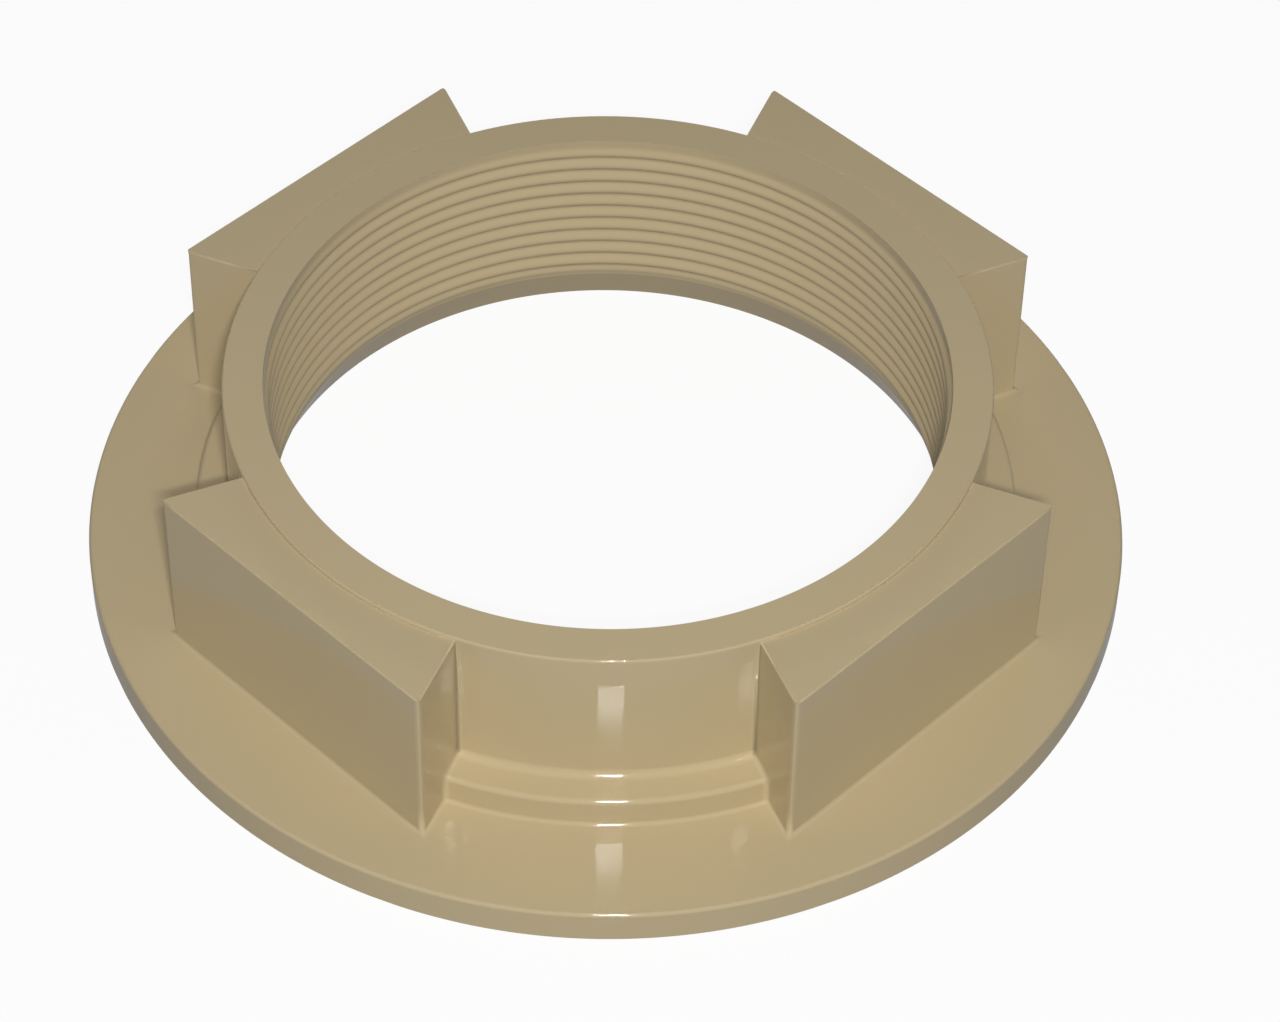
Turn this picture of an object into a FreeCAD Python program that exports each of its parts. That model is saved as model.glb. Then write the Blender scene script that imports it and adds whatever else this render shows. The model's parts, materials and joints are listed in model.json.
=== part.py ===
import FreeCAD, Part
import math
import os
import Sketcher

# Suction nut, moulded in one piece. The axis of the thread is Z, and the flat underside of the flange
# lies at height zero. A section turned about the axis gives the flange, collar and barrel. Four solid
# wrench lugs, alternate sides of an octagon, stand around the barrel and end a little below its rim.
# The bore is the thread's root.

# Driving dimensions, in millimetres and degrees
SIZES = {
    # Barrel
    "bore_diameter": 63.5,
    "barrel_wall": 3.75,
    "barrel_rise": 15.25,
    "bore_chamfer": 0.5,
    "rim_chamfer": 0.2,
    "lead_in_flare": 1.75,
    "lead_in_depth": 4.0,
    # Collar at the foot of the barrel
    "collar_width": 3.2,
    "collar_rise": 3.05,
    # Flange
    "flange_thickness": 3.4,
    "flange_overhang": 5.75,
    # Wrench lugs
    "lug_count": 4,
    "lug_angle": 46.0,
    "lug_reach": 4.3,
    "lug_drop": 0.4,
    # Rounded and broken edges
    "flange_round": 0.6,
    "collar_round": 0.5,
    "ledge_fillet": 0.8,
    "lug_corner_round": 1.0,
    "lug_root_chamfer": 0.4,
    "lug_top_chamfer": 0.4,
}

# The most of a neighbouring size that a large and a small edge may take, and of a rounding it runs into
LARGE_SHARE = 0.5
SMALL_SHARE = 0.3
ROUND_SHARE = 0.8

# Sizes that follow from the driving dimensions
FOLLOWING = {
    "bore_radius": "Sizes.bore_diameter / 2",
    "mouth_radius": "bore_radius + Sizes.lead_in_flare",
    "barrel_radius": "bore_radius + Sizes.barrel_wall",
    "collar_radius": "barrel_radius + Sizes.collar_width",
    "lug_inside": "(mouth_radius + barrel_radius) / 2",
    "lug_face": "barrel_radius + Sizes.lug_reach",
    "lug_half_angle": "Sizes.lug_angle / 2",
    "lug_length": "2 * lug_face * tan(lug_half_angle)",
    "lug_corner": "lug_face / cos(lug_half_angle)",
    "flange_radius": "lug_corner + Sizes.flange_overhang",
    "collar_top": "Sizes.flange_thickness + Sizes.collar_rise",
    "nut_height": "collar_top + Sizes.barrel_rise",
    "lug_top": "nut_height - Sizes.lug_drop",
    "first_lug": "180 / Sizes.lug_count",
    "flange_edge_radius": f"min(Sizes.flange_round; Sizes.flange_thickness * {LARGE_SHARE})",
    "collar_edge_radius": f"min(Sizes.collar_round; Sizes.collar_width * {SMALL_SHARE}; "
                          f"Sizes.collar_rise * {SMALL_SHARE})",
    "ledge_radius": f"min(Sizes.ledge_fillet; Sizes.collar_width * {SMALL_SHARE})",
    "lug_edge_radius": f"min(Sizes.lug_corner_round; Sizes.lug_reach * {SMALL_SHARE})",
    "lug_root_edge": f"min(Sizes.lug_root_chamfer; ledge_radius * {ROUND_SHARE}; "
                     f"collar_edge_radius * {ROUND_SHARE})",
    "lug_top_edge": f"min(Sizes.lug_top_chamfer; Sizes.lug_reach * {SMALL_SHARE})",
    "rim_edge": f"min(Sizes.rim_chamfer; Sizes.lug_drop * {LARGE_SHARE}; Sizes.barrel_wall * {SMALL_SHARE})",
}

# How a sketch numbers the ends and centre of an edge, its horizontal axis and its origin
START, END, CENTRE = 1, 2, 3
X_AXIS = -1
ORIGIN = (-1, 1)

# How near two places count as one, and the step off an edge that feels for material
NEAR = 1e-3
PROBE = 0.02

doc = FreeCAD.newDocument("suction_nut")


def fill_sheet(name, cells, prefix):
    """A sheet with one named cell for each entry."""
    sheet = doc.addObject("Spreadsheet::Sheet", name)
    for row, (alias, content) in enumerate(cells.items(), start=1):
        sheet.set(f"A{row}", alias)
        sheet.set(f"B{row}", f"{prefix}{content}")
        sheet.setAlias(f"B{row}", alias)
    doc.recompute()
    return sheet


sizes = fill_sheet("Sizes", SIZES, "")
following = fill_sheet("Following", FOLLOWING, "=")
nut = doc.addObject("PartDesign::Body", "Nut")
nut.Label = "suction_nut"


def origin_feature(role):
    """One of the nut's own planes or axes."""
    return next(item for item in nut.Origin.OriginFeatures if item.Role == role)


def new_sketch(name, plane):
    """An empty sketch on one of the nut's own planes."""
    sketch = nut.newObject("Sketcher::SketchObject", name)
    sketch.AttachmentSupport = [(origin_feature(plane), "")]
    sketch.MapMode = "FlatFace"
    return sketch


def line(start, end):
    """A straight edge between two points of a sketch."""
    return Part.LineSegment(FreeCAD.Vector(*start, 0), FreeCAD.Vector(*end, 0))


def rule(sketch, kind, *places):
    """A constraint with no size of its own."""
    sketch.addConstraint(Sketcher.Constraint(kind, *places))


def value_of(cell):
    """The number in a named cell, given as sheet and alias."""
    sheet, alias = cell.split(".")
    return float(doc.getObject(sheet).getPropertyByName(alias))


def bind(sketch, kind, *places, to):
    """A dimension that takes its size from a named cell."""
    start = math.radians(value_of(to)) if kind == "Angle" else value_of(to)
    index = sketch.addConstraint(Sketcher.Constraint(kind, *places, start))
    sketch.setExpression(f"Constraints[{index}]", to)


def round_corner(sketch, before, corner, after, edges, radius):
    """Rounds the corner between two straight edges and gives the number of the corner's point.

    The edges end at the arc, and a point that only guides the sketch stays where they would meet.
    """
    before, corner, after = [FreeCAD.Vector(*point, 0) for point in (before, corner, after)]
    arriving = (corner - before).normalize()
    leaving = (after - corner).normalize()
    size = value_of(radius)
    reach = size * math.tan(arriving.getAngle(leaving) / 2)
    enter = corner - arriving * reach
    leave = corner + leaving * reach
    turns_left = arriving.cross(leaving).z > 0
    centre = enter + FreeCAD.Vector(-arriving.y, arriving.x, 0) * (size if turns_left else -size)
    middle = centre + (corner - centre).normalize() * size
    arc = sketch.addGeometry(Part.Arc(enter, middle, leave))
    first, second = (START, END) if turns_left else (END, START)
    rule(sketch, "Tangent", edges[0], END, arc, first)
    rule(sketch, "Tangent", arc, second, edges[1], START)
    bind(sketch, "Radius", arc, to=radius)
    point = sketch.addGeometry(Part.Point(corner), True)
    for edge in edges:
        rule(sketch, "PointOnObject", point, START, edge)
    return point


def draw_outline(sketch, corners, rounds):
    """A closed outline of straight edges between named corners, some of them rounded.

    Gives the number of the edge that leaves each corner, and the place of each corner's point.
    """
    names = list(corners)
    following_name = dict(zip(names, names[1:] + names[:1]))
    edge_from = {name: sketch.addGeometry(line(corners[name], corners[following_name[name]]))
                 for name in names}
    at = {}
    for before, name in following_name.items():
        edges = (edge_from[before], edge_from[name])
        if name in rounds:
            after = following_name[name]
            at[name] = (round_corner(sketch, corners[before], corners[name], corners[after], edges,
                                     rounds[name]), START)
        else:
            rule(sketch, "Coincident", edges[0], END, edges[1], START)
            at[name] = (edges[1], START)
    return edge_from, at


def draw_section():
    """Half section of flange, collar and barrel, to the right of the axis."""
    sketch = new_sketch("section", "XZ_Plane")
    corners = {
        "mouth": (following.mouth_radius, 0),
        "flange_foot": (following.flange_radius, 0),
        "flange_edge": (following.flange_radius, sizes.flange_thickness),
        "collar_foot": (following.collar_radius, sizes.flange_thickness),
        "collar_edge": (following.collar_radius, following.collar_top),
        "barrel_foot": (following.barrel_radius, following.collar_top),
        "barrel_top": (following.barrel_radius, following.nut_height - following.rim_edge),
        "rim_top": (following.barrel_radius - following.rim_edge, following.nut_height),
        "bore_top": (following.bore_radius + sizes.bore_chamfer, following.nut_height),
        "bore_high": (following.bore_radius, following.nut_height - sizes.bore_chamfer),
        "bore_low": (following.bore_radius, sizes.lead_in_depth),
    }
    rounds = {
        "flange_edge": "Following.flange_edge_radius",
        "collar_edge": "Following.collar_edge_radius",
        "barrel_foot": "Following.ledge_radius",
    }
    edge_from, at = draw_outline(sketch, corners, rounds)
    for corner in ("mouth", "flange_edge", "collar_edge", "rim_top"):
        rule(sketch, "Horizontal", edge_from[corner])
    for corner in ("flange_foot", "collar_foot", "barrel_foot", "bore_high"):
        rule(sketch, "Vertical", edge_from[corner])
    rule(sketch, "PointOnObject", *at["mouth"], X_AXIS)
    bind(sketch, "DistanceX", *ORIGIN, *at["bore_low"], to="Following.bore_radius")
    bind(sketch, "DistanceX", *at["bore_low"], *at["mouth"], to="Sizes.lead_in_flare")
    bind(sketch, "DistanceY", *at["mouth"], *at["bore_low"], to="Sizes.lead_in_depth")
    bind(sketch, "DistanceX", *at["bore_high"], *at["barrel_top"], to="Sizes.barrel_wall")
    bind(sketch, "DistanceX", *at["bore_high"], *at["bore_top"], to="Sizes.bore_chamfer")
    bind(sketch, "DistanceY", *at["bore_high"], *at["bore_top"], to="Sizes.bore_chamfer")
    bind(sketch, "DistanceX", *at["rim_top"], *at["barrel_top"], to="Following.rim_edge")
    bind(sketch, "DistanceY", *at["barrel_top"], *at["rim_top"], to="Following.rim_edge")
    bind(sketch, "DistanceY", *at["barrel_foot"], *at["rim_top"], to="Sizes.barrel_rise")
    bind(sketch, "DistanceX", *at["barrel_foot"], *at["collar_edge"], to="Sizes.collar_width")
    bind(sketch, "DistanceY", *at["collar_foot"], *at["collar_edge"], to="Sizes.collar_rise")
    bind(sketch, "DistanceY", *at["flange_foot"], *at["flange_edge"], to="Sizes.flange_thickness")
    bind(sketch, "DistanceX", *ORIGIN, *at["flange_foot"], to="Following.flange_radius")
    return sketch


def draw_lug():
    """Plan of a lug: a flat outer face, two ends and an arc inside the barrel's wall."""
    sketch = new_sketch("lug_plan", "XY_Plane")
    sketch.setExpression("AttachmentOffset.Rotation.Angle", "Following.first_lug")
    far = following.lug_face
    half_length = following.lug_length / 2
    half_angle = math.radians(sizes.lug_angle / 2)
    circle = Part.Circle()
    circle.Radius = following.lug_inside
    arc = Part.ArcOfCircle(circle, -half_angle, half_angle)
    flat = sketch.addGeometry(line((far, -half_length), (far, half_length)))
    left_end = sketch.addGeometry(line((far, half_length), (arc.EndPoint.x, arc.EndPoint.y)))
    inside = sketch.addGeometry(arc)
    right_end = sketch.addGeometry(line((arc.StartPoint.x, arc.StartPoint.y), (far, -half_length)))
    rule(sketch, "Coincident", flat, END, left_end, START)
    rule(sketch, "Coincident", left_end, END, inside, END)
    rule(sketch, "Coincident", inside, START, right_end, START)
    rule(sketch, "Coincident", right_end, END, flat, START)
    rule(sketch, "Coincident", inside, CENTRE, *ORIGIN)
    rule(sketch, "Symmetric", flat, START, flat, END, X_AXIS)
    rule(sketch, "Vertical", inside, START, inside, END)
    bind(sketch, "DistanceX", *ORIGIN, flat, START, to="Following.lug_face")
    bind(sketch, "DistanceY", flat, START, flat, END, to="Following.lug_length")
    bind(sketch, "Radius", inside, to="Following.lug_inside")
    bind(sketch, "Angle", inside, to="Sizes.lug_angle")
    return sketch


def is_lug_corner(edge):
    """Whether an edge is an upright outer corner of a lug."""
    ends = [vertex.Point for vertex in edge.Vertexes]
    return (len(ends) == 2
            and math.hypot(ends[0].x - ends[1].x, ends[0].y - ends[1].y) < NEAR
            and abs(math.hypot(ends[0].x, ends[0].y) - following.lug_corner) < NEAR)


def is_lug_root(edge):
    """Whether an edge is an inner corner between a lug's end and the collar or barrel."""
    if edge.BoundBox.ZMax < sizes.flange_thickness + NEAR or edge.BoundBox.ZMin > following.lug_top - NEAR:
        return False
    solid = nut.Tip.Shape.Solids[0]
    faces = solid.ancestorsOfType(edge, Part.Face)
    if len(faces) != 2:
        return False
    middle = edge.valueAt((edge.FirstParameter + edge.LastParameter) / 2)
    first, second = [face.normalAt(*face.Surface.parameter(middle)) for face in faces]
    across = (first - second) * PROBE
    return across.Length > NEAR and solid.isInside(middle + across, NEAR, False)


def is_lug_outline(edge):
    """Whether an edge is on the outline of a lug's flat top, clear of the barrel."""
    box = edge.BoundBox
    farthest = max(math.hypot(vertex.X, vertex.Y) for vertex in edge.Vertexes)
    level = abs(box.ZMin - following.lug_top) < NEAR and abs(box.ZMax - following.lug_top) < NEAR
    return level and farthest > following.barrel_radius + NEAR


def dress_edges(kind, name, size, wanted):
    """Rounds or breaks every edge of the nut so far that the test picks out."""
    doc.recompute()
    base = nut.Tip
    names = [f"Edge{number}" for number, edge in enumerate(base.Shape.Edges, start=1) if wanted(edge)]
    if not names:
        raise RuntimeError(f"{name}: no edge found")
    feature = nut.newObject(f"PartDesign::{kind}", name)
    feature.Base = (base, names)
    feature.setExpression("Radius" if kind == "Fillet" else "Size", size)
    nut.Tip = feature


def repeat_round(name, feature):
    """Repeats a feature round the axis, once for each lug."""
    doc.recompute()
    pattern = nut.newObject("PartDesign::PolarPattern", name)
    pattern.Originals = [feature]
    pattern.Axis = (origin_feature("Z_Axis"), [""])
    pattern.Angle = 360
    pattern.setExpression("Occurrences", "Sizes.lug_count")
    nut.Tip = pattern


# Flange, collar and barrel
turned = nut.newObject("PartDesign::Revolution", "turned_form")
turned.Profile = draw_section()
turned.ReferenceAxis = (turned.Profile[0], ["V_Axis"])
turned.Angle = 360
nut.Tip = turned

# Wrench lugs, with rounded corners, bevelled roots and broken top edges
doc.recompute()
lug = nut.newObject("PartDesign::Pad", "lug")
lug.Profile = draw_lug()
lug.setExpression("Length", "Following.lug_top")
nut.Tip = lug
repeat_round("lugs", lug)
dress_edges("Fillet", "lug_corners", "Following.lug_edge_radius", is_lug_corner)
dress_edges("Chamfer", "lug_roots", "Following.lug_root_edge", is_lug_root)
dress_edges("Chamfer", "lug_tops", "Following.lug_top_edge", is_lug_outline)
doc.recompute()

# Checks before the file is written
failed = [item.Name for item in doc.Objects if {"Invalid", "Error"} & set(item.State)]
if failed:
    raise RuntimeError(f"failed: {failed}")
if nut.Shape.isNull() or not nut.Shape.isValid() or len(nut.Shape.Solids) != 1:
    raise RuntimeError("the nut isn't one valid solid")

os.makedirs("parts", exist_ok=True)
nut.Shape.Solids[0].exportStep(f"parts/{nut.Label}.step")
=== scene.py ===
import json
import math

import bmesh
import bpy
from mathutils import Matrix, Vector


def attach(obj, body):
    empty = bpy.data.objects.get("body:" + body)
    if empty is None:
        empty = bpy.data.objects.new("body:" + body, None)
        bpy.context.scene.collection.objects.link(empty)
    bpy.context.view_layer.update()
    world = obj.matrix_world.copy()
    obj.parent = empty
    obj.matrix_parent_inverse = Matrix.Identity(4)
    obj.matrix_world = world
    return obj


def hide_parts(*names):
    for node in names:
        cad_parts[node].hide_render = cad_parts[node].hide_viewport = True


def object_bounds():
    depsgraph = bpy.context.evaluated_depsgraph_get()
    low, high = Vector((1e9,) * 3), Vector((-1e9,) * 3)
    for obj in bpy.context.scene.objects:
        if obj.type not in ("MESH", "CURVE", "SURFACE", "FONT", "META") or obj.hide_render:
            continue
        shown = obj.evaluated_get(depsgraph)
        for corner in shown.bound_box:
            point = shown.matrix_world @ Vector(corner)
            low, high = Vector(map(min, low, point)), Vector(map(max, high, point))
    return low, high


bl_info = {
    "name": "Suction nut",
    "version": (1, 0, 0),
    "blender": (4, 5, 0),
    "location": "3D View > Sidebar > Suction nut",
    "description": "Builds a moulded suction nut with its thread, and a plain stage to show it on",
    "category": "Object",
}

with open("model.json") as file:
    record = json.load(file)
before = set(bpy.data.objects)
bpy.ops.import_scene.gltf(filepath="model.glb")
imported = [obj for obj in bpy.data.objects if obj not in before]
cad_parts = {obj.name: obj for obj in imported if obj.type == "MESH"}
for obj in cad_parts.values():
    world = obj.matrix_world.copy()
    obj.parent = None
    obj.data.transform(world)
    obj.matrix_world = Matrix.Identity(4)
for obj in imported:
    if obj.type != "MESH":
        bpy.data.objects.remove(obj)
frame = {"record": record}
CAD_LOW, CAD_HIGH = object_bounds()
NODE = "suction_nut"
BODY = "root"
SLOT = "almond_plastic"
THREAD_MOUNT = next(mount for mount in frame["record"]["mounts"] if mount["name"] == "thread")

# A millimetre in metres, and an inch in millimetres
MM = 0.001
INCH = 25.4

# Rings of the nut's plan, from the bore outwards
BORE, BARREL, COLLAR, LUG_FACE, RIM = range(5)

# Levels that the plan is raised through
UNDERSIDE, FLANGE, LEDGE, LUG_TOP, TOP = range(5)

# Columns of faces round the axis, and those from a lug's middle to its end
COLUMNS = 360
LUG_COLUMNS = 23

# How many columns wide the last one within a lug is, which leaves room for the roundings at its end
END_COLUMN = 3.0

# Edges that turn by less than this are neither rounded nor shaded as sharp
SHARP = math.radians(12)

# How near the bore's wall a vertex counts as on it
TOUCH = 1e-5

# Profile of a circular arc, and the faces that an edge is rounded with
ARC = 0.5
ARC_FACES = 3

# The largest faces at a corner decide its shading, and areas that differ by less than this count alike
FACE_WEIGHT = 100
SAME_AREA = 0.02 * MM * MM

# Turns of the thread in an inch, and rows of faces on the bore's wall in each turn
TURNS_PER_INCH = 16
ROWS_PER_TURN = 10

# Shares of the thread's half pitch at which its flanks leave the crest and reach the root
CREST_SHARE = 0.05
ROOT_SHARE = 0.98

# Scale and detail of the plastic's noises: a slow drift of colour, clouds in the skin and a fine grain
DRIFT = (28.0, 2.0)
CLOUD = (120.0, 3.0)
GRAIN = (1400.0, 2.0)
NOISE_ROUGHNESS = 0.55

# Parts of drift and cloud in the blend of the two colours, and what is taken off it
DRIFT_IN_TINT = 0.8
CLOUD_IN_TINT = 0.3
TINT_OFFSET = 0.05

# The skin's roughness in parts of its mean: an even one, and those of cloud and grain
EVEN_SKIN = 0.4
CLOUD_IN_SKIN = 0.9
GRAIN_IN_SKIN = 0.3

# How strongly the grain tilts the skin, and the plastic's index of refraction
GRAIN_STRENGTH = 0.3
PLASTIC_IOR = 1.5

# Sockets that go by number, as others share their names: a Mix node's colours and a Mix Shader's three
COLOUR_A, COLOUR_B = 6, 7
FACTOR, SHADER_A, SHADER_B = range(3)

# Share of the white backdrop that reflections show
GLOSS_SHARE = 0.15

FLOOR_RADIUS = 4.0
FLOOR_SIDES = 64
WHITE = (1.0, 1.0, 1.0, 1.0)


def length(name, description, default):
    """A size in metres that a user may change."""
    return bpy.props.FloatProperty(name=name, description=description, default=default, unit="LENGTH",
                                   precision=5, min=0.0)


def share(name, description, default):
    """A number from nought to one."""
    return bpy.props.FloatProperty(name=name, description=description, default=default, subtype="FACTOR",
                                   min=0.0, max=1.0)


def colour(name, description, default):
    """A linear colour."""
    return bpy.props.FloatVectorProperty(name=name, description=description, default=default,
                                         subtype="COLOR", size=3, min=0.0, max=1.0)


def turn(name, description, degrees):
    """An angle, given in degrees."""
    return bpy.props.FloatProperty(name=name, description=description, default=math.radians(degrees),
                                   subtype="ANGLE", unit="ROTATION")


def power(name, description, default):
    """The power of a lamp in watts."""
    return bpy.props.FloatProperty(name=name, description=description, default=default, unit="POWER", min=0.0)


class NutFormSizes(bpy.types.PropertyGroup):
    """Sizes of the moulded body."""

    bore_radius: length("Bore radius", "Radius at the thread's root", THREAD_MOUNT["dims"]["r_mm"] * MM)
    mouth_radius: length("Mouth radius", "Radius of the lead-in at the underside", 33.5 * MM)
    lead_in_depth: length("Lead-in depth", "Height at which the lead-in meets the bore", 4.0 * MM)
    bore_chamfer: length("Bore chamfer", "Break of the bore's top edge", 0.5 * MM)
    barrel_radius: length("Barrel radius", "Outer radius of the barrel", 35.5 * MM)
    collar_radius: length("Collar radius", "Radius of the stepped collar", 38.7 * MM)
    flange_radius: length("Flange radius", "Radius of the flange", CAD_HIGH.x)
    flange_thickness: length("Flange thickness", "Height of the flange's flat top", 3.4 * MM)
    ledge_height: length("Ledge height", "Height of the collar's ledge", 6.45 * MM)
    nut_height: length("Height", "Height of the barrel", CAD_HIGH.z)
    lug_drop: length("Lug drop", "How far the lugs end below the barrel's rim", 0.4 * MM)
    lug_face: length("Lug face", "Distance from the axis to a lug's flat face", 39.8 * MM)
    lug_half_angle: turn("Lug half angle", "Angle from a lug's middle to its end", 23.0)
    lug_count: bpy.props.IntProperty(name="Lugs", description="Number of wrench lugs", default=4,
                                     min=1, max=6)
    flange_round: length("Flange round", "Rounding of the flange's top edge", 0.35 * MM)
    lug_corner_round: length("Lug corner", "Width of the rounding on a lug's upright corner", 0.72 * MM)
    ledge_fillet: length("Ledge fillet", "Fillet between ledge and barrel", 0.8 * MM)
    collar_round: length("Collar round", "Rounding of the collar's edge", 0.5 * MM)
    root_fillet: length("Root fillet", "Fillet at the roots of lugs and collar", 0.4 * MM)
    lug_top_round: length("Lug top", "Rounding of the edges of a lug's top", 0.18 * MM)
    rim_round: length("Rim", "Rounding of the outer edge of the barrel's rim", 0.2 * MM)
    edge_break: length("Edge break", "Break of the edges of the underside", 0.15 * MM)


class NutThreadSizes(bpy.types.PropertyGroup):
    """Sizes of the thread in the bore."""

    pitch: length("Pitch", "Rise of the thread in one turn", INCH / TURNS_PER_INCH * MM)
    depth: length("Depth", "How far the thread's crest stands in from its root", 0.45 * MM)
    row: length("Row", "Height of one row of faces on the bore's wall",
                INCH / (TURNS_PER_INCH * ROWS_PER_TURN) * MM)
    run_out: length("Run-out", "Height over which the thread fades at each end", 1.6 * MM)


class NutPlasticLook(bpy.types.PropertyGroup):
    """Colour and finish of the moulded plastic."""

    almond: colour("Almond", "Main colour of the plastic", (0.57, 0.46, 0.28))
    warm: colour("Warm almond", "Colour that the plastic drifts to in places", (0.55, 0.45, 0.265))
    roughness: share("Roughness", "Mean roughness of the moulded skin", 0.03)
    grain_depth: length("Grain depth", "Height of the fine grain left by the mould", 0.003 * MM)


class NutStageSettings(bpy.types.PropertyGroup):
    """Camera, lamps and floor."""

    elevation: turn("Elevation", "Camera's height above the horizon", 46.643)
    azimuth: turn("Azimuth", "Camera's turn about the nut", -1.065)
    roll: turn("Roll", "Camera's turn about its own line of sight", -1.165)
    distance: length("Distance", "From the camera to the point it looks at", 0.4165)
    aim: bpy.props.FloatVectorProperty(name="Aim", description="Point that the camera looks at", size=3,
                                       subtype="TRANSLATION", unit="LENGTH",
                                       default=(0.00318, 0.00156, 0.00147))
    lens: bpy.props.FloatProperty(name="Lens", description="Focal length in millimetres", default=122.48,
                                  unit="CAMERA")
    flash_azimuth: turn("Flash azimuth", "The flash's turn about the nut", 1.515)
    flash_elevation: turn("Flash elevation", "Height of the flash above the horizon", 47.035)
    flash_spread: turn("Flash spread", "Angle from the middle of the flash to each of its two lamps", 1.735)
    flash_distance: length("Flash distance", "From the flash to the nut", 0.5)
    flash_width: length("Flash width", "Width of each lamp of the flash", 0.045)
    flash_height: length("Flash height", "Height of each lamp of the flash", 0.007)
    flash_power: power("Flash power", "Power of the flash", 1.88)
    fill_elevation: turn("Fill elevation", "Height of the lamp behind the nut above the horizon", 4.0)
    fill_distance: length("Fill distance", "From the lamp behind the nut to the nut", 1.2)
    fill_width: length("Fill width", "Width of the lamp behind the nut", 0.9)
    fill_height: length("Fill height", "Height of the lamp behind the nut", 0.15)
    fill_power: power("Fill power", "Power of the lamp behind the nut", 11.0)
    sky: share("Sky", "Strength of the even light from all round", 0.08)
    floor_tone: share("Floor tone", "Share of the light that the floor throws back", 0.35)
    floor_seen: share("Floor as seen", "Tone of the floor's shaded part as the camera sees it", 0.9)
    floor_white: share("Floor white", "Share of plain white in the floor as the camera sees it", 0.92)


class Value:
    """A shader value that can be reckoned with: each operator adds a Math node."""

    def __init__(self, finish, socket):
        self.finish = finish
        self.socket = socket

    def reckon(self, operation, *terms):
        """The result of a Math node on two terms."""
        return self.finish.node("ShaderNodeMath", {"operation": operation}, dict(enumerate(terms)))["Value"]

    def __add__(self, other):
        return self.reckon("ADD", self, other)

    def __radd__(self, other):
        return self.reckon("ADD", other, self)

    def __sub__(self, other):
        return self.reckon("SUBTRACT", self, other)

    def __rsub__(self, other):
        return self.reckon("SUBTRACT", other, self)

    def __mul__(self, other):
        return self.reckon("MULTIPLY", self, other)

    def __rmul__(self, other):
        return self.reckon("MULTIPLY", other, self)

    def largest(self, other):
        """The larger of two values."""
        return self.reckon("MAXIMUM", self, other)


class Finish:
    """A node tree that is filled one node at a time."""

    def __init__(self, tree):
        self.tree = tree
        tree.nodes.clear()

    def node(self, kind, settings=None, inputs=None):
        """Adds a node, sets it up and fills its sockets, and gives its outputs by name."""
        made = self.tree.nodes.new(kind)
        for name, setting in (settings or {}).items():
            setattr(made, name, setting)
        for key, content in (inputs or {}).items():
            if isinstance(content, Value):
                self.tree.links.new(content.socket, made.inputs[key])
            else:
                made.inputs[key].default_value = content
        return {output.name: Value(self, output) for output in made.outputs if output.enabled}


def between(column, stops):
    """A value read off a list of columns and values, in straight runs."""
    for (low, first), (high, second) in zip(stops, stops[1:]):
        if column <= high:
            return first + (second - first) * (column - low) / (high - low)
    return stops[-1][1]


class NutPlan:
    """The nut's plan as rings and columns, and where each of its points lies at each level."""

    def __init__(self, form):
        self.form = form
        self.per_lug = COLUMNS // form.lug_count
        self.half_gap = self.per_lug // 2
        half = form.lug_half_angle
        clear = END_COLUMN * math.tau / COLUMNS
        last = (self.half_gap, math.pi / form.lug_count)
        # Azimuths by columns from a lug's middle: even in the bore, and fitted to the lugs outside it
        self.even = [(0, 0.0), last]
        self.by_lugs = [(0, 0.0), (LUG_COLUMNS - 1, half - clear), (LUG_COLUMNS, half), last]
        self.radii = {
            BORE: form.bore_radius,
            BARREL: form.barrel_radius,
            COLLAR: form.collar_radius,
            LUG_FACE: form.lug_face / math.cos(half),
            RIM: form.flange_radius,
        }

    def offset(self, column):
        """Columns from the middle of the nearest lug, negative before it."""
        return column % self.per_lug - self.half_gap

    def polar(self, ring, column):
        """Radius and azimuth of a point of the plan."""
        offset = self.offset(column)
        away = abs(offset)
        angle = between(away, self.even if ring == BORE else self.by_lugs)
        radius = self.radii[ring]
        if ring == LUG_FACE and away <= LUG_COLUMNS:
            radius = self.form.lug_face / math.cos(angle)
        middle = (column - offset) * math.tau / COLUMNS
        return radius, middle + math.copysign(angle, offset)

    def place(self, ring, column, level):
        """Where a point of the plan lies at a level."""
        form = self.form
        radius, azimuth = self.polar(ring, column)
        height = {
            UNDERSIDE: 0.0,
            FLANGE: form.flange_thickness,
            LEDGE: form.ledge_height,
            LUG_TOP: form.nut_height - form.lug_drop,
            TOP: form.nut_height,
        }[level]
        if ring == BORE and level == UNDERSIDE:
            radius = form.mouth_radius
        if ring == BORE and level == FLANGE:
            height = form.lead_in_depth
        return Vector((radius * math.cos(azimuth), radius * math.sin(azimuth), height))


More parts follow.
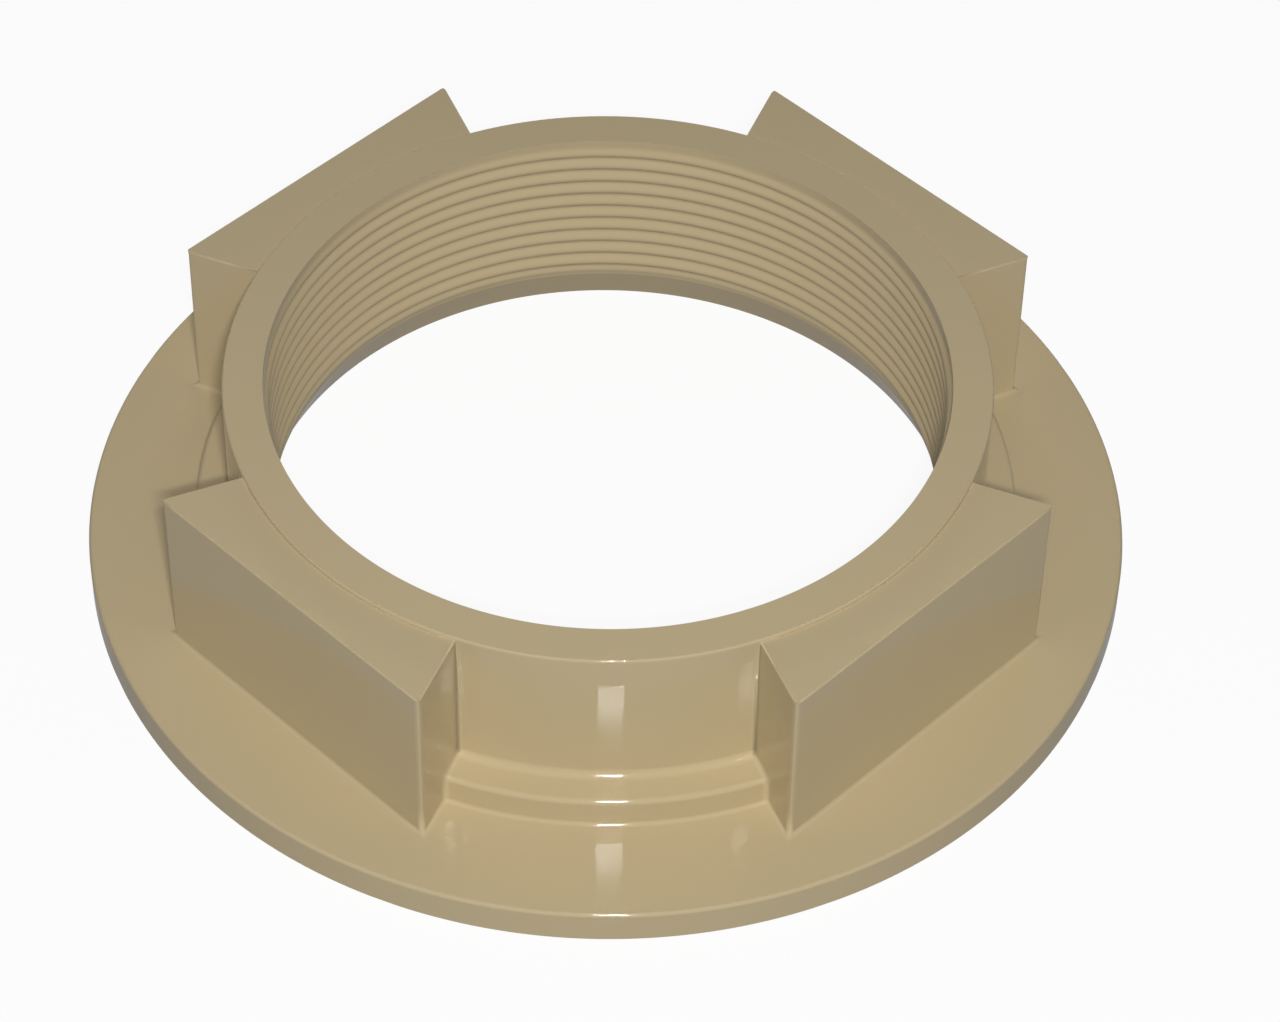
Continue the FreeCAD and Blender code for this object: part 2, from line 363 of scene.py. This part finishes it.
class NutBody:
    """The moulded body, raised level by level from its plan."""

    def __init__(self, form, thread):
        self.form = form
        self.thread = thread
        self.plan = NutPlan(form)
        self.mesh = bmesh.new()
        layers = self.mesh.verts.layers.int
        self.ring = layers.new("ring")
        self.column = layers.new("column")
        self.level = layers.new("level")
        self.widest = 0.0

    def lay_plan(self):
        """Spins a row of points into the flat plan at the underside."""
        mesh = self.mesh
        # Until they are settled, the points lie one unit further out for each ring
        row = [mesh.verts.new((1.0 + ring, 0.0, 0.0)) for ring in range(RIM + 1)]
        edges = [mesh.edges.new(pair) for pair in zip(row, row[1:])]
        bmesh.ops.spin(mesh, geom=row + edges, cent=(0, 0, 0), axis=(0, 0, 1), angle=math.tau,
                       steps=COLUMNS, use_merge=True)
        for vertex in mesh.verts:
            vertex[self.ring] = round(vertex.co.xy.length) - 1
            vertex[self.column] = round(math.atan2(vertex.co.y, vertex.co.x) / math.tau * COLUMNS) % COLUMNS
            self.settle(vertex, UNDERSIDE)

    def settle(self, vertex, level):
        """Puts a vertex where its ring, its column and a level say."""
        vertex[self.level] = level
        vertex.co = self.plan.place(vertex[self.ring], vertex[self.column], level)

    def cell(self, face):
        """The ring inside a face of the plan and its columns from the middle of the nearest lug."""
        columns = {vertex[self.column] for vertex in face.verts}
        first = COLUMNS - 1 if columns == {0, COLUMNS - 1} else min(columns)
        inside = min(vertex[self.ring] for vertex in face.verts)
        return inside, abs((first + 0.5) % self.plan.per_lug - self.plan.half_gap)

    def raise_faces(self, faces, level, keep=False):
        """Extrudes faces of the plan to a level and gives the new ones."""
        made = bmesh.ops.extrude_face_region(self.mesh, geom=faces)["geom"]
        if not keep:
            bmesh.ops.delete(self.mesh, geom=[face for face in faces if face.is_valid], context="FACES")
        for item in made:
            if isinstance(item, bmesh.types.BMVert):
                self.settle(item, level)
        return [item for item in made if isinstance(item, bmesh.types.BMFace)]

    def raise_levels(self):
        """Raises flange, collar, lugs and barrel."""
        flange = self.raise_faces(self.mesh.faces[:], FLANGE, keep=True)
        collar = self.raise_faces([face for face in flange if self.in_collar(face)], LEDGE)
        lugs = self.raise_faces([face for face in collar if self.in_lug_or_barrel(face)], LUG_TOP)
        self.raise_faces([face for face in lugs if self.cell(face)[0] == BORE], TOP)

    def in_collar(self, face):
        """Whether a face of the flange goes on up into the collar or a lug."""
        inside, away = self.cell(face)
        return inside < COLLAR or (inside == COLLAR and away < LUG_COLUMNS)

    def in_lug_or_barrel(self, face):
        """Whether a face of the collar goes on up into a lug or the barrel."""
        inside, away = self.cell(face)
        return inside == BORE or away < LUG_COLUMNS

    def break_bore_edge(self):
        """Chamfers the bore's top edge."""
        edges = [edge for edge in self.mesh.edges
                 if all(vertex[self.ring] == BORE and vertex[self.level] == TOP for vertex in edge.verts)]
        bmesh.ops.bevel(self.mesh, geom=edges, offset=self.form.bore_chamfer, offset_type="OFFSET",
                        segments=1, profile=ARC, affect="EDGES", material=-1)

    def rounding(self, edge):
        """How wide an edge of the body is rounded."""
        form = self.form
        rings = {vertex[self.ring] for vertex in edge.verts}
        levels = {vertex[self.level] for vertex in edge.verts}
        if edge.calc_face_angle(0.0) < SHARP or rings == {BORE}:
            return 0.0
        if levels == {UNDERSIDE}:
            return form.edge_break
        if rings == {RIM}:
            return form.flange_round
        if levels == {TOP}:
            return form.rim_round
        if levels == {LUG_TOP} and edge.is_convex:
            return form.lug_top_round
        if rings == {LUG_FACE} and edge.is_convex:
            return form.lug_corner_round
        if rings == {BARREL} and LUG_TOP in levels:
            return 0.0
        if levels == {LEDGE} and rings == {BARREL}:
            return form.ledge_fillet
        if levels == {LEDGE} and rings == {COLLAR}:
            return form.collar_round
        return form.root_fillet

    def weigh_edges(self):
        """Writes each edge's rounding as a share of the widest, and keeps the other corners crisp."""
        weight = self.mesh.edges.layers.float.new("bevel_weight_edge")
        bmesh.ops.recalc_face_normals(self.mesh, faces=self.mesh.faces[:])
        widths = {edge: self.rounding(edge) for edge in self.mesh.edges}
        self.widest = max(widths.values())
        for edge, width in widths.items():
            edge[weight] = width / self.widest
            edge.smooth = width > 0.0 or edge.calc_face_angle(0.0) < SHARP

    def cut_thread(self):
        """Divides the bore's wall into rows and raises the thread on them."""
        form, thread = self.form, self.thread
        low, high = form.lead_in_depth, form.nut_height - form.bore_chamfer
        stems = {}
        for edge in self.mesh.edges:
            first, second = (vertex.co for vertex in edge.verts)
            rise = abs(first.z - second.z)
            if rise > thread.row and all(self.on_bore(vertex) for vertex in edge.verts):
                stems.setdefault(round(rise / thread.row), []).append(edge)
        for rows, edges in stems.items():
            bmesh.ops.subdivide_edges(self.mesh, edges=edges, cuts=rows - 1, use_grid_fill=True)
        for vertex in self.mesh.verts:
            if self.on_bore(vertex):
                spot = vertex.co
                turns = spot.z / thread.pitch - math.atan2(spot.y, spot.x) / math.tau
                ends = min(spot.z - low, high - spot.z) / thread.run_out
                stand = thread.depth * crest(turns) * ease(ends)
                spot.xy *= 1.0 - stand / form.bore_radius

    def on_bore(self, vertex):
        """Whether a vertex is on the plain wall of the bore."""
        return abs(vertex.co.xy.length - self.form.bore_radius) < TOUCH

    def make_object(self, name):
        """Makes the object, with its edges rounded by a modifier."""
        bmesh.ops.recalc_face_normals(self.mesh, faces=self.mesh.faces[:])
        for layer in (self.ring, self.column, self.level):
            self.mesh.verts.layers.int.remove(layer)
        for face in self.mesh.faces:
            face.smooth = True
        data = bpy.data.meshes.new(name)
        self.mesh.to_mesh(data)
        self.mesh.free()
        nut = bpy.data.objects.new(name, data)
        bpy.context.scene.collection.objects.link(nut)
        rounded = nut.modifiers.new("Rounded edges", "BEVEL")
        rounded.limit_method = "WEIGHT"
        rounded.width = self.widest
        rounded.segments = ARC_FACES
        rounded.profile = ARC
        rounded.use_clamp_overlap = False
        even = nut.modifiers.new("Even shading", "WEIGHTED_NORMAL")
        even.mode = "FACE_AREA"
        even.keep_sharp = True
        even.weight = FACE_WEIGHT
        even.thresh = SAME_AREA
        return nut


def ease(part):
    """Rises smoothly from nought to one as its argument does."""
    part = min(max(part, 0.0), 1.0)
    return part * part * (3.0 - 2.0 * part)


def crest(turns):
    """Height of the thread, from nought at its root to one at its crest, by turns of the helix."""
    away = abs(turns % 1.0 - 0.5) * 2.0
    return ease((ROOT_SHARE - away) / (ROOT_SHARE - CREST_SHARE))


def almond_plastic(look):
    """Semi-gloss moulded plastic with a faint drift of colour and a fine grain."""
    material = bpy.data.materials.new(SLOT)
    material.use_nodes = True
    finish = Finish(material.node_tree)
    place = finish.node("ShaderNodeTexCoord")["Object"]

    def noise(scale, detail):
        """A noise that stays put on the nut."""
        return finish.node("ShaderNodeTexNoise", None, {
            "Vector": place, "Scale": scale, "Detail": detail, "Roughness": NOISE_ROUGHNESS})["Fac"]

    drift = noise(*DRIFT)
    cloud = noise(*CLOUD)
    grain = noise(*GRAIN)
    blend = drift * DRIFT_IN_TINT + cloud * CLOUD_IN_TINT - TINT_OFFSET
    tint = finish.node("ShaderNodeMix", {"data_type": "RGBA", "clamp_factor": True}, {
        "Factor": blend, COLOUR_A: (*look.almond, 1.0), COLOUR_B: (*look.warm, 1.0)})
    skin = look.roughness * (EVEN_SKIN + cloud * CLOUD_IN_SKIN + grain * GRAIN_IN_SKIN)
    bump = finish.node("ShaderNodeBump", None, {
        "Strength": GRAIN_STRENGTH, "Distance": look.grain_depth, "Height": grain})["Normal"]
    shader = finish.node("ShaderNodeBsdfPrincipled", None, {
        "Base Color": tint["Result"], "Roughness": skin, "Normal": bump, "IOR": PLASTIC_IOR})["BSDF"]
    finish.node("ShaderNodeOutputMaterial", None, {"Surface": shader})
    return material


class NUT_OT_body(bpy.types.Operator):
    """Builds the moulded body with its lugs and thread"""

    bl_idname = "nut.body"
    bl_label = "Moulded body"

    def execute(self, context):
        scene = context.scene
        body = NutBody(scene.nut_form, scene.nut_thread)
        body.lay_plan()
        body.raise_levels()
        body.break_bore_edge()
        body.weigh_edges()
        body.cut_thread()
        nut = body.make_object("moulded_nut")
        nut.data.materials.append(almond_plastic(scene.nut_plastic))
        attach(nut, BODY)
        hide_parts(NODE)
        return {"FINISHED"}


def seen_straight(finish):
    """How much of the white backdrop a ray sees: all of it straight or through glass, a share off gloss."""
    path = finish.node("ShaderNodeLightPath")
    straight = path["Is Camera Ray"].largest(path["Is Transmission Ray"])
    return straight.largest(path["Is Glossy Ray"] * GLOSS_SHARE)


class NUT_OT_stage(bpy.types.Operator):
    """Sets up the floor, the lamps and the camera"""

    bl_idname = "nut.stage"
    bl_label = "Stage"

    def execute(self, context):
        stage = context.scene.nut_stage
        self.lay_floor(context, stage)
        self.light_sky(context, stage)
        sides = {"flash_high": 1.0, "flash_low": -1.0}
        for name, side in sides.items():
            self.hang_lamp(context, name, stage.flash_azimuth,
                           stage.flash_elevation + side * stage.flash_spread, stage.flash_distance,
                           (stage.flash_width, stage.flash_height), stage.flash_power / len(sides))
        fill = self.hang_lamp(context, "fill", stage.azimuth + math.pi, stage.fill_elevation,
                              stage.fill_distance, (stage.fill_width, stage.fill_height), stage.fill_power)
        # The lamp behind the nut lights its far side and isn't mirrored in the plastic
        fill.visible_glossy = False
        self.set_camera(context, stage)
        context.scene.view_settings.view_transform = "Standard"
        return {"FINISHED"}

    def lay_floor(self, context, stage):
        """Lays a round floor that looks white to the camera and keeps the nut's shadow."""
        mesh = bmesh.new()
        bmesh.ops.create_circle(mesh, cap_ends=True, segments=FLOOR_SIDES, radius=FLOOR_RADIUS)
        data = bpy.data.meshes.new("floor")
        mesh.to_mesh(data)
        mesh.free()
        floor = bpy.data.objects.new("floor", data)
        context.scene.collection.objects.link(floor)
        material = bpy.data.materials.new("pale_floor")
        material.use_nodes = True
        finish = Finish(material.node_tree)
        glow = finish.node("ShaderNodeEmission", None, {"Color": WHITE, "Strength": 1.0})["Emission"]
        seen = finish.node("ShaderNodeMixShader", None, {
            FACTOR: stage.floor_white, SHADER_A: self.paint(finish, stage.floor_seen), SHADER_B: glow})
        blend = finish.node("ShaderNodeMixShader", None, {
            FACTOR: seen_straight(finish), SHADER_A: self.paint(finish, stage.floor_tone),
            SHADER_B: seen["Shader"]})
        finish.node("ShaderNodeOutputMaterial", None, {"Surface": blend["Shader"]})
        data.materials.append(material)

    def paint(self, finish, tone):
        """A matt grey."""
        return finish.node("ShaderNodeBsdfDiffuse", None, {"Color": (tone, tone, tone, 1.0)})["BSDF"]

    def light_sky(self, context, stage):
        """Gives a faint light from all round and a white backdrop."""
        world = bpy.data.worlds.new("studio")
        context.scene.world = world
        world.use_nodes = True
        finish = Finish(world.node_tree)
        strength = stage.sky + seen_straight(finish) * (1.0 - stage.sky)
        sky = finish.node("ShaderNodeBackground", None, {"Color": WHITE, "Strength": strength})["Background"]
        finish.node("ShaderNodeOutputWorld", None, {"Surface": sky})

    def hang_lamp(self, context, name, azimuth, elevation, distance, size, watts):
        """Hangs a rectangular lamp that faces the nut."""
        data = bpy.data.lights.new(name, "AREA")
        data.shape = "RECTANGLE"
        data.size, data.size_y = size
        data.energy = watts
        lamp = bpy.data.objects.new(name, data)
        context.scene.collection.objects.link(lamp)
        away = Matrix.Rotation(azimuth, 3, "Z") @ Vector((0.0, -math.cos(elevation), math.sin(elevation)))
        lamp.location = away * distance
        lamp.rotation_euler = away.to_track_quat("Z", "Y").to_euler()
        return lamp

    def set_camera(self, context, stage):
        """Puts the camera at the photograph's viewing angle."""
        data = bpy.data.cameras.new("camera")
        data.lens = stage.lens
        camera = bpy.data.objects.new("camera", data)
        context.scene.collection.objects.link(camera)
        high, wide = math.sin(stage.elevation), math.cos(stage.elevation)
        right, up, back = Vector((1, 0, 0)), Vector((0, high, wide)), Vector((0, -wide, high))
        spin, lean = math.cos(stage.roll), math.sin(stage.roll)
        axes = Matrix((right * spin - up * lean, right * lean + up * spin, back)).transposed()
        place = Matrix.Translation(Vector(stage.aim) + back * stage.distance) @ axes.to_4x4()
        camera.matrix_world = Matrix.Rotation(stage.azimuth, 4, "Z") @ place
        context.scene.camera = camera


class NUT_PT_sidebar(bpy.types.Panel):
    """Lists the steps that build the nut, and its settings"""

    bl_idname = "NUT_PT_sidebar"
    bl_label = "Suction nut"
    bl_space_type = "VIEW_3D"
    bl_region_type = "UI"
    bl_category = "Suction nut"

    def draw(self, context):
        for operator in (NUT_OT_body, NUT_OT_stage):
            self.layout.operator(operator.bl_idname)
        for name, group in GROUPS.items():
            box = self.layout.box()
            for setting in group.__annotations__:
                box.prop(getattr(context.scene, name), setting)


CLASSES = (NutFormSizes, NutThreadSizes, NutPlasticLook, NutStageSettings, NUT_OT_body, NUT_OT_stage,
           NUT_PT_sidebar)
GROUPS = {
    "nut_form": NutFormSizes,
    "nut_thread": NutThreadSizes,
    "nut_plastic": NutPlasticLook,
    "nut_stage": NutStageSettings,
}


def register():
    """Makes the classes known and hangs the settings on the scene."""
    for item in CLASSES:
        bpy.utils.register_class(item)
    for name, group in GROUPS.items():
        setattr(bpy.types.Scene, name, bpy.props.PointerProperty(type=group))


def unregister():
    """Takes the settings and the classes away again."""
    for name in GROUPS:
        delattr(bpy.types.Scene, name)
    for item in reversed(CLASSES):
        bpy.utils.unregister_class(item)


def main():
    """Builds the nut and its stage."""
    register()
    bpy.ops.nut.body()
    bpy.ops.nut.stage()


if __name__ == "__main__":
    main()
